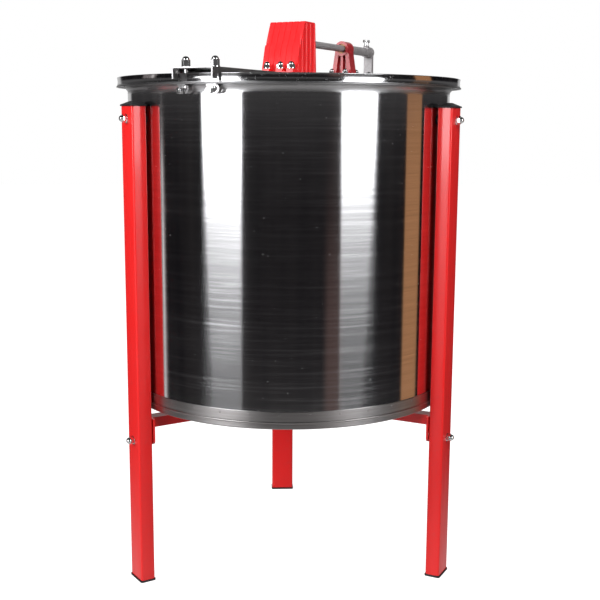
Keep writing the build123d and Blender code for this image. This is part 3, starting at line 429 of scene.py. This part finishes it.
def tube_mesh(points, radii, sides, up, closed=False):
    """Vertices and faces of a tube along points; radii gives its (across, up) half widths at each point."""
    vertices, faces = [], []
    count = len(points)
    for i, point in enumerate(points):
        before = points[i - 1] if i or closed else point
        after = points[(i + 1) % count] if i < count - 1 or closed else point
        along = (after - before).normalized()
        across = along.cross(up).normalized()
        rise = across.cross(along).normalized()
        half_across, half_up = radii[i]
        for k in range(sides):
            angle = 2 * math.pi * k / sides
            sideways = across * half_across * math.cos(angle)
            vertices.append(point + sideways + rise * half_up * math.sin(angle))
    for i in range(count if closed else count - 1):
        a, b = i * sides, (i + 1) % count * sides
        for k in range(sides):
            faces.append((a + k, b + k, b + (k + 1) % sides, a + (k + 1) % sides))
    if not closed:
        faces.append(list(range(sides)))
        faces.append(list(range(count * sides - 1, (count - 1) * sides - 1, -1)))
    return vertices, faces


def joined(parts):
    """Several (vertices, faces) as one."""
    vertices, faces = [], []
    for some_vertices, some_faces in parts:
        start = len(vertices)
        vertices += some_vertices
        faces += [[start + i for i in face] for face in some_faces]
    return vertices, faces


# ---------------------------------------------------------------- rounded castings, plates and fasteners
ROUNDED = {                                      # edge radii in mm
    "gear_cover": 0.4, "gear_base": 0.9, "shaft_bracket": 1.4, "crossbar": 0.35, "base_hub": 0.8,
    "base_arm_front_left": 0.7, "base_arm_front_right": 0.7, "base_arm_rear": 0.7,
    "leg_caps": 0.6, "leg_feet": 0.7, "leg_upper_bolts": 0.45, "leg_lower_bolts": 0.45,
    "crossbar_cap_nuts": 0.5, "crossbar_studs": 0.4, "crossbar_clamp_hooks": 0.5,
    "gear_cover_bolts": 0.45, "bracket_bolts": 0.4, "crank_hub": 0.5, "crank_arm": 0.9,
    "crank_wing_screw": 0.5, "handle_spindle": 0.5, "lid_left": 0.5, "lid_right": 0.5,
    "lid_hinge_leaves_left": 0.25, "lid_hinge_leaves_right": 0.25, "lid_hinge_brackets": 0.25,
    "gate_body": 0.8, "gate_flap": 0.8, "gate_ring_nut": 0.5, "gate_pivot_bolt": 0.4, "gate_wing_nut": 0.6,
    "cage_top_spider": 0.5, "cage_bottom_spider": 0.5, "pivot_cup": 0.6, "pivot_screws": 0.3,
}
for node, radius in ROUNDED.items():
    softened(node, radius)

# painted shade: the shaft bracket takes the darker red casting, as if it lay in the gear cover's shadow
bpy.data.objects["shaft_bracket_rounded"].data.materials[0] = FINISHES["painted_shade_casting"]


# ---------------------------------------------------------------- drawn leg tubes
REAR_LOW, REAR_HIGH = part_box("leg_rear")
LEG_R = (REAR_LOW.y + REAR_HIGH.y) / 2
LEG_CORNER = 3.5 * MM
CORNER_STEPS = 6                                 # facets of each rounded corner
SWELL_STEPS = 10                                 # facets of each swollen face
LEG_END = 0.3 * MM                               # short end bands keep the shading of the long faces straight
LEG_BULGE = 0.6 * MM                             # the narrow faces of the drawn tube swell a little


def leg_outline():
    """(radial, tangential) points round the tube: round corners and slightly swollen narrow faces."""
    half_depth = (REAR_HIGH.y - REAR_LOW.y) / 2
    half_width = (REAR_HIGH.x - REAR_LOW.x) / 2
    points = []
    for corner, (side_r, side_t) in enumerate(((1, 1), (-1, 1), (-1, -1), (1, -1))):
        centre = Vector((side_r * (half_depth - LEG_CORNER), side_t * (half_width - LEG_CORNER)))
        for k in range(CORNER_STEPS + 1):
            angle = math.radians(90 * corner + 90 / CORNER_STEPS * k)
            points.append(centre + LEG_CORNER * Vector((math.cos(angle), math.sin(angle))))
        if corner % 2 == 0:
            flat = half_depth - LEG_CORNER
            for k in range(1, SWELL_STEPS):
                share = 1 - 2 * k / SWELL_STEPS
                swell = LEG_BULGE * (1 - share ** 2)
                points.append(Vector((side_r * flat * share, side_t * (half_width + swell))))
    return points


def drawn_leg(node, turn):
    """One leg tube, closed at its ends, which the cap and the shoe cover."""
    low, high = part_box(node)
    outline = leg_outline()
    place = Matrix.Rotation(turn, 3, "Z")
    levels = [low.z, low.z + LEG_END, high.z - LEG_END, high.z]
    vertices = [place @ Vector((LEG_R + p.x, p.y, z)) for z in levels for p in outline]
    count = len(outline)
    faces = []
    for j in range(len(levels) - 1):
        for k in range(count):
            a, b = j * count + k, j * count + (k + 1) % count
            faces.append((a, b, b + count, a + count))
    faces.append(list(range(count - 1, -1, -1)))
    faces.append(list(range((len(levels) - 1) * count, len(levels) * count)))
    piece = new_piece(node + "_drawn", vertices, faces, frame_slot(frame["nodes"][node]), "frame")
    for polygon in piece.data.polygons[-2:]:
        polygon.use_smooth = False
    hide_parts(node)


for node, turn in LEG_TURNS.items():
    drawn_leg(node, turn)


# ---------------------------------------------------------------- woven screens of the cage
WIRE_R = 0.7 * MM
WIRE_PITCH = 15 * MM
WIRE_SIDES = 5
STEPS_PER_PITCH = 3
BORDER = 12 * MM
BORDER_HALF_THICK = 1.4 * MM
WIRE_TUCK = 2 * MM                               # how far the wires run in under the border


def woven_screen(number):
    """Plain-weave wire cloth inside a flat welded border."""
    node = f"mesh_panel_{number}"
    low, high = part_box(node)
    thin = 0 if high.x - low.x < high.y - low.y else 1
    level = Vector((0, 0, 0))
    level[1 - thin] = 1.0
    upright = Vector((0, 0, 1))
    proud = Vector((0, 0, 0))
    proud[thin] = 1.0
    centre = (low + high) / 2
    half_level = (high - low)[1 - thin] / 2
    half_up = (high - low).z / 2
    cloth_level = half_level - BORDER + WIRE_TUCK
    cloth_up = half_up - BORDER + WIRE_TUCK
    parts = []
    for run, cross, run_half, cross_half, phase in (
        (upright, level, cloth_up, cloth_level, 0),
        (level, upright, cloth_level, cloth_up, 1),
    ):
        wires = int(2 * cross_half / WIRE_PITCH) // 2
        crossings = int(2 * run_half / WIRE_PITCH) // 2
        for i in range(-wires, wires + 1):
            points = []
            for k in range(-crossings * STEPS_PER_PITCH - 2, crossings * STEPS_PER_PITCH + 3):
                along = max(-run_half, min(run_half, k * WIRE_PITCH / STEPS_PER_PITCH))
                wave = math.cos(math.pi * (k / STEPS_PER_PITCH + i + phase)) * WIRE_R
                points.append(centre + run * along + cross * i * WIRE_PITCH + proud * wave)
            parts.append(tube_mesh(points, [(WIRE_R, WIRE_R)] * len(points), WIRE_SIDES, proud))
    vertices, faces = joined(parts)
    cloth = new_piece(f"screen_cloth_{number}", vertices, faces, "cage_stainless", "cage")
    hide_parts(node)
    border_strip(number, centre, level, proud, half_level, half_up)


def border_strip(number, centre, level, proud, half_level, half_up):
    """The screen's border: a mitred flat frame with rounded edges."""
    vertices, faces = [], []
    corners = [(-1, -1), (1, -1), (1, 1), (-1, 1)]
    for inset in (0.0, BORDER):
        for side in (-1, 1):
            for a, b in corners:
                spread = level * a * (half_level - inset) + Vector((0, 0, 1)) * b * (half_up - inset)
                vertices.append(centre + spread + proud * side * BORDER_HALF_THICK)
    for i in range(4):
        j = (i + 1) % 4
        faces += [(i, j, 4 + j, 4 + i), (8 + i, 12 + i, 12 + j, 8 + j)]
        faces += [(i, 8 + i, 8 + j, j), (4 + i, 4 + j, 12 + j, 12 + i)]
    strip = new_piece(f"screen_border_{number}", vertices, faces, "cage_stainless", "cage")
    bevel = strip.modifiers.new("rounding", "BEVEL")
    bevel.width = 0.5 * MM
    bevel.segments = 2
    bevel.harden_normals = True
    apply_modifiers(strip)


for number in range(1, 5):
    woven_screen(number)


# ---------------------------------------------------------------- weld beads
BEAD_SIDES = 8
UP = Vector((0, 0, 1))


def bead(points, width, height, up, ripple=1.6 * MM, closed=False):
    """A weld bead along points: a flattened tube with the scallops of each puddle."""
    length = 0.0
    radii = []
    for i, point in enumerate(points):
        if i:
            length += (point - points[i - 1]).length
        swell = 1 + 0.16 * math.cos(2 * math.pi * length / ripple)
        radii.append((width * swell / 2, height * swell))
    return tube_mesh(points, radii, BEAD_SIDES, up, closed)


def straight(a, b, step=0.4 * MM):
    """Points a step apart along the line from a to b."""
    count = max(2, int((b - a).length / step))
    return [a.lerp(b, i / count) for i in range(count + 1)]


PLATE_X = 308.2 * MM                             # where an arm meets its end plate, along the arm
WEB_FACE = 12.3 * MM                             # the arm's upright web: its outer face, across the arm
WEB_INSIDE = 8.7 * MM
FLANGE_EDGE = -13.6 * MM                         # far edge of the arm's level flange
FLANGE_UNDER = 3.3 * MM                          # the flange's underside, below the arm's top
WEB_WELD_DEPTH = 18 * MM                         # how far below the arm's top the web's bead starts
HUB_WELD_START, HUB_WELD_RUN = -13, 24           # the hub's bead across the arm, in mm
HUB_WELD_STEPS = 60


def star_welds():
    """Beads that join the arms to the end plates and the hub plate to the arms."""
    hub_low, hub_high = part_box("base_hub")
    arm_top, hub_r = hub_low.z, hub_high.x
    under = arm_top - FLANGE_UNDER
    parts = []
    for turn, side in zip(LEG_TURNS.values(), (1, -1, 1)):
        place = Matrix.Rotation(turn, 3, "Z")
        out = place @ Vector((1, 0, 0))
        web = WEB_FACE * side
        lines = [
            (Vector((PLATE_X, web, arm_top - WEB_WELD_DEPTH)), Vector((PLATE_X, web, arm_top - 1 * MM))),
            (Vector((PLATE_X, WEB_INSIDE * side, under)), Vector((PLATE_X, FLANGE_EDGE * side, under))),
        ]
        for a, b in lines:
            parts.append(bead(straight(place @ a, place @ b), 3.4 * MM, 1.3 * MM, out))
        arc = []
        for k in range(HUB_WELD_STEPS + 1):
            y = (HUB_WELD_START + HUB_WELD_RUN * k / HUB_WELD_STEPS) * MM * side
            arc.append(place @ Vector((math.sqrt(hub_r ** 2 - y ** 2), y, arm_top + 0.4 * MM)))
        parts.append(bead(arc, 4 * MM, 1.4 * MM, UP))
    vertices, faces = joined(parts)
    new_piece("star_welds", vertices, faces, "red_paint", "frame")


COLLAR_R = 11.2 * MM
ARM_FACE = 380.6 * MM                            # the crank arm's inner face, along the shaft
SHAFT_R = 7 * MM
RING_STEPS = 120


def crank_weld():
    """Ring bead that joins the hub's collar to the crank's arm."""
    axis_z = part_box("crank_shaft")[0].z + SHAFT_R
    points = []
    for k in range(RING_STEPS):
        angle = 2 * math.pi * k / RING_STEPS
        level, rise = COLLAR_R * math.cos(angle), COLLAR_R * math.sin(angle)
        points.append(BAR @ Vector((ARM_FACE, level, axis_z + rise)))
    along = BAR.to_3x3() @ Vector((1, 0, 0))
    vertices, faces = bead(points, 2.2 * MM, 1.1 * MM, along, 2.2 * MM, True)
    new_piece("crank_weld", vertices, faces, "crank_steel", "crank")


SEAM_TURN = math.radians(38)
SEAM_BELOW_TOP = 26 * MM                         # the seam stops under the rim


def drum_seam():
    """The rolled sheet's upright butt weld, ground low, on the far side of the drum."""
    radius = DRUM_R + 0.02 * MM
    foot = Vector((radius * math.cos(SEAM_TURN), radius * math.sin(SEAM_TURN), HOOP_HIGH.z))
    head = Vector((foot.x, foot.y, WALL_TOP - SEAM_BELOW_TOP))
    out = Vector((math.cos(SEAM_TURN), math.sin(SEAM_TURN), 0))
    vertices, faces = bead(straight(foot, head, 0.8 * MM), 2.4 * MM, 0.25 * MM, out, 3.2 * MM)
    new_piece("drum_seam_weld", vertices, faces, "hoop_stainless", "frame")


SPOTS = 36                                       # round the hoop
SPOT_R = 2.2 * MM
SPOT_SIDES = 12
SPOT_RINGS = ((1.0, 0.0), (0.8, 0.18), (0.45, 0.28))    # (share of the radius, height in mm)
HOOP_SHEET = 1.2 * MM                            # the hoop's band, outside the wall
SPOTS_BELOW_HOOP_TOP = 6 * MM


def hoop_spot_welds():
    """Low round spots where the base hoop is welded to the wall."""
    centre = Vector((DRUM_R + HOOP_SHEET, 0, HOOP_HIGH.z - SPOTS_BELOW_HOOP_TOP))
    parts = []
    for i in range(SPOTS):
        turn = Matrix.Rotation(math.radians(5 + 360 / SPOTS * i), 3, "Z")
        vertices, faces = [], []
        for share, height in SPOT_RINGS:
            ring_r = SPOT_R * share
            for k in range(SPOT_SIDES):
                angle = 2 * math.pi * k / SPOT_SIDES
                offset = Vector((height * MM, ring_r * math.cos(angle), ring_r * math.sin(angle)))
                vertices.append(turn @ (centre + offset))
        for j in range(len(SPOT_RINGS) - 1):
            for k in range(SPOT_SIDES):
                a, b = j * SPOT_SIDES + k, j * SPOT_SIDES + (k + 1) % SPOT_SIDES
                faces.append((a, b, b + SPOT_SIDES, a + SPOT_SIDES))
        faces.append(list(range(len(vertices) - SPOT_SIDES, len(vertices))))
        faces.append(list(range(SPOT_SIDES - 1, -1, -1)))
        parts.append((vertices, faces))
    vertices, faces = joined(parts)
    new_piece("hoop_spot_welds", vertices, faces, "hoop_stainless", "frame")


star_welds()
crank_weld()
drum_seam()
hoop_spot_welds()


# ---------------------------------------------------------------- crank grip
GRIP_LENGTH = 105 * MM
GRIP_BORE = 5.1 * MM
GRIP_STEPS = 180
GRIP_WAIST, GRIP_SWELL = 13.4 * MM, 2.3 * MM
RIB_DEPTH, RIB_PITCH = 0.35 * MM, 4.6 * MM
GRIP_FOOT = ((12, 0), (14.4, 1.2), (14.9, 3), (14.2, 5))           # (radius, height) in mm
GRIP_HEAD = ((14.2, 100), (14.3, 102), (13.2, 104), (11.5, 105))


def ribbed_grip():
    """Turned grip with flared ends and a band of fine finger ribs."""
    low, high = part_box("handle_grip")
    outline = [(GRIP_BORE, 0.0)] + [(radius * MM, height * MM) for radius, height in GRIP_FOOT]
    for i in range(GRIP_STEPS + 1):
        share = i / GRIP_STEPS
        height = (6 + 92 * share) * MM
        swell = GRIP_WAIST + GRIP_SWELL * math.sin(math.pi * share) ** 2
        fade = min(1.0, 8 * share, 8 * (1 - share))
        rib = RIB_DEPTH * max(0.0, math.cos(2 * math.pi * height / RIB_PITCH)) ** 3 * fade
        outline.append((swell - rib, height))
    outline += [(radius * MM, height * MM) for radius, height in GRIP_HEAD] + [(GRIP_BORE, GRIP_LENGTH)]
    place = Matrix.Translation((low + high) / 2) @ BAR @ Matrix.Rotation(math.radians(90), 4, "Y")
    place = place @ Matrix.Translation((0, 0, -GRIP_LENGTH / 2))
    piece = lathe("handle_grip_ribbed", outline, place, "grip_plastic", "grip", 72)
    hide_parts("handle_grip")


ribbed_grip()


# ---------------------------------------------------------------- studio
# The room is described by direction, in degrees. Azimuth 0 is towards the camera and grows to its right;
# elevation is above the horizon. A pair is where an edge starts and where it ends.
TO_DEGREES = 180 / math.pi
LEFT_LAMP_OUTER, LEFT_LAMP_INNER = (-64.6, -62.2), (-36.0, -33.8)
RIGHT_LAMP_INNER, RIGHT_LAMP_OUTER = (33.1, 35.1), (58.4, 60.8)
LEFT_LEAN, RIGHT_LEAN = 0.4, -0.5                # how far the outer edges move for each degree upwards
LEAN_STOPS = 2.0
RIGHT_SHARE = 0.68                               # the right lamp's strength against the left one's
GLOW_GROWTH, GLOW_FROM, GLOW_BASE, GLOW_MOST = 1.27, -3.6, 0.11, 4.0
LOW_GLOW_RISE, LOW_GLOW = (-12.0, 0.0), 1.87
BRIGHT_RISE, BRIGHT = (-3.4, -1.2), 5.0
LAMP_TOP = (24.0, 34.0)
LAMP_TINT = (0.97, 0.98, 1.0)
CUT_BOTTOM, CUT_RIGHT = (2.55, 2.8), (-61.0, -59.0)
DARK, DARK_CLUTTER = (0.006, 0.0055, 0.007), (0.02, 0.018, 0.0185)
HAZE, HAZE_RISE = (0.11, 0.108, 0.11), (0.0, 3.2)
UPPER_DARK, UPPER_RISE, CEILING_RISE = (0.03, 0.03, 0.03), (6.0, 14.0), (50.0, 65.0)
BROWN, BROWN_EDGES, BROWN_FADE = (0.1, 0.062, 0.056), (24.0, 35.0, 3.0), (-4.0, -10.0)
TAN, TAN_EDGES, TAN_FADE = (0.47, 0.225, 0.105), (87.0, 103.0, 0.6), (1.2, 3.0)
GREY, GREY_EDGES = (0.27, 0.24, 0.24), (-112.0, -99.0, 0.6)
PALE, PALE_EDGES = (0.9, 0.87, 0.87), (-102.5, -100.5, 0.5)
STRIP_TOP = (-1.0, -2.2)
BEHIND, BEHIND_EDGE = (0.6, 0.6, 0.6), (147.0, 155.0)
FLOOR_GLOW, FLOOR_EDGE = (0.5, 0.49, 0.49), (-17.0, -27.0)
MATT_LIGHT = (0.16, 0.155, 0.16)                 # the room, as rays that leave a matt surface meet it


def window(graph, value, low, high, soft):
    """One between low and high, nought outside, with soft edges."""
    rise = graph.rise(value, low - soft, low + soft)
    return graph.times(rise, graph.fall(value, high - soft, high + soft))


def slanted(graph, azimuth, elevation, lean):
    """The azimuth with a lean, for a lamp whose outer edge isn't upright."""
    level = graph.math("MINIMUM", elevation, LEAN_STOPS)
    return graph.plus(azimuth, graph.times(level, lean))


def lamp_light(g, azimuth, elevation):
    """Two tall lamps, dim at their feet and bright from just below the horizon to their tops."""
    glow = g.math("POWER", GLOW_GROWTH, g.plus(elevation, -GLOW_FROM))
    glow = g.math("MINIMUM", g.plus(glow, GLOW_BASE), GLOW_MOST)
    glow = g.math("MAXIMUM", glow, g.remap(elevation, *LOW_GLOW_RISE, 0.0, LOW_GLOW))
    glow = g.plus(glow, g.remap(elevation, *BRIGHT_RISE, 0.0, BRIGHT, True))
    glow = g.times(glow, g.fall(elevation, *LAMP_TOP))
    left_edge = g.rise(slanted(g, azimuth, elevation, LEFT_LEAN), *LEFT_LAMP_OUTER)
    left = g.times(left_edge, g.fall(azimuth, *LEFT_LAMP_INNER), glow)
    cut = g.times(g.remap(elevation, *CUT_BOTTOM), g.remap(azimuth, *CUT_RIGHT, 1.0, 0.0))
    left = g.times(left, g.math("SUBTRACT", 1.0, cut))
    right_edge = g.fall(slanted(g, azimuth, elevation, RIGHT_LEAN), *RIGHT_LAMP_OUTER)
    right = g.times(right_edge, g.rise(azimuth, *RIGHT_LAMP_INNER), g.times(glow, RIGHT_SHARE))
    lamps = g.plus(left, right)
    grey = g.add("CombineXYZ", inputs={0: lamps, 1: lamps, 2: lamps})
    return g.mix(1.0, LAMP_TINT, grey, "MULTIPLY")


def room_light(g, direction, azimuth, elevation):
    """A dim room: haze over the horizon, a brown and a tan sheet, a grey strip, a pale wall behind."""
    stretched = g.add("Mapping", inputs={"Vector": direction, "Scale": (5, 5, 1)})
    clutter = g.add("TexNoise", inputs={"Vector": stretched, "Scale": 2.0, "Detail": 3.0})
    room = g.mix(g.remap(clutter, 0.35, 0.7), DARK, DARK_CLUTTER)
    room = g.mix(g.rise(elevation, *HAZE_RISE), room, HAZE)
    room = g.mix(g.rise(elevation, *UPPER_RISE), room, UPPER_DARK)
    brown = g.times(window(g, azimuth, *BROWN_EDGES), g.remap(elevation, *BROWN_FADE))
    room = g.mix(brown, room, BROWN)
    tan = g.times(window(g, azimuth, *TAN_EDGES), g.remap(elevation, *TAN_FADE, 1.0, 0.2))
    room = g.mix(tan, room, TAN)
    for edges, colour in ((GREY_EDGES, GREY), (PALE_EDGES, PALE)):
        strip = g.times(window(g, azimuth, *edges), g.remap(elevation, *STRIP_TOP))
        room = g.mix(strip, room, colour)
    room = g.mix(g.rise(g.math("ABSOLUTE", azimuth), *BEHIND_EDGE), room, BEHIND)
    room = g.mix(g.rise(elevation, *CEILING_RISE), room, UPPER_DARK)
    return g.mix(g.rise(elevation, *FLOOR_EDGE), room, FLOOR_GLOW)


def studio_world():
    """White to the camera, the dim room and its lamps to polished metal, grey to rays off matt surfaces."""
    world = bpy.data.worlds.new("studio")
    world.use_nodes = True
    g = Graph(world.node_tree)
    direction = g.add("TexCoord", "Generated")
    axes = g.axes(direction)
    azimuth = g.times(g.math("ARCTAN2", axes["X"], g.times(axes["Y"], -1.0)), TO_DEGREES)
    elevation = g.times(g.math("ARCSINE", axes["Z"]), TO_DEGREES)
    lamps = lamp_light(g, azimuth, elevation)
    seen = g.mix(1.0, room_light(g, direction, azimuth, elevation), lamps, "ADD")
    seen = g.mix(g.add("LightPath", "Is Diffuse Ray"), seen, MATT_LIGHT)
    seen = g.mix(g.add("LightPath", "Is Camera Ray"), seen, WHITE)
    g.link(seen, g.tree.nodes["Background"].inputs["Color"])
    bpy.context.scene.world = world


def panel_light(name, place, target, size, power):
    """Soft panel that lights surfaces evenly and isn't seen in polished metal; metres and watts."""
    light = bpy.data.lights.new(name, "AREA")
    light.shape = "RECTANGLE"
    light.size, light.size_y = size
    light.energy = power
    lamp = bpy.data.objects.new(name, light)
    lamp.location = place
    lamp.rotation_euler = (Vector(target) - Vector(place)).to_track_quat("-Z", "Y").to_euler()
    lamp.visible_glossy = False
    lamp.visible_camera = False
    bpy.context.scene.collection.objects.link(lamp)


def studio_floor():
    """Pale floor, bright enough to meet the white background without a line."""
    half = 12.0
    corners = [(-half, -half, 0), (half, -half, 0), (half, half, 0), (-half, half, 0)]
    mesh = bpy.data.meshes.new("floor")
    mesh.from_pydata(corners, [], [(0, 1, 2, 3)])
    f = Finish("floor", base_color=(0.3, 0.3, 0.3), roughness=0.9, specular_ior_level=0.0,
               emission_color=WHITE, emission_strength=0.95)
    mesh.materials.append(f.material)
    floor = bpy.data.objects.new("floor", mesh)
    floor.visible_glossy = False
    floor.visible_diffuse = False
    bpy.context.scene.collection.objects.link(floor)


studio_world()
studio_floor()
for name, place, target, size, power in (
    ("key_front", (0.45, -1.9, 2.45), (0.0, 0.0, 0.75), (1.0, 0.8), 48),
    ("key_left", (-2.05, -0.7, 1.7), (0.0, 0.0, 0.75), (1.1, 1.0), 47),
    ("fill_right", (2.2, -0.4, 1.6), (0.0, 0.0, 0.65), (1.1, 1.0), 11),
    ("fill_back", (0.5, 3.0, 1.8), (0.0, 0.0, 0.6), (3.0, 2.0), 45),
    ("fill_top", (-0.6, -0.6, 3.2), (0.0, 0.0, 0.6), (2.0, 2.0), 10),
):
    panel_light(name, place, target, size, power)


# ---------------------------------------------------------------- camera
CAMERA_DISTANCE = 2.077
CAMERA_HEIGHT = 0.871
CAMERA_AZIMUTH = math.radians(-2.26)     # round the drum axis
CAMERA_YAW = math.radians(-0.65)
CAMERA_PITCH = math.radians(9.77)        # downwards
CAMERA_ROLL = math.radians(0.32)
SENSOR_MM = 36.0
LENS_MM = 62.73

camera = bpy.data.objects.new("camera", bpy.data.cameras.new("camera"))
camera.data.sensor_width = SENSOR_MM
camera.data.lens = LENS_MM
around = Matrix.Rotation(CAMERA_AZIMUTH, 4, "Z")
aim = Matrix.Rotation(CAMERA_YAW, 4, "Z") @ Matrix.Rotation(math.radians(90) - CAMERA_PITCH, 4, "X")
aim = aim @ Matrix.Rotation(CAMERA_ROLL, 4, "Z")
camera.matrix_world = around @ Matrix.Translation((0, -CAMERA_DISTANCE, CAMERA_HEIGHT)) @ aim
bpy.context.scene.collection.objects.link(camera)
bpy.context.scene.camera = camera
bpy.context.scene.view_settings.view_transform = "Standard"
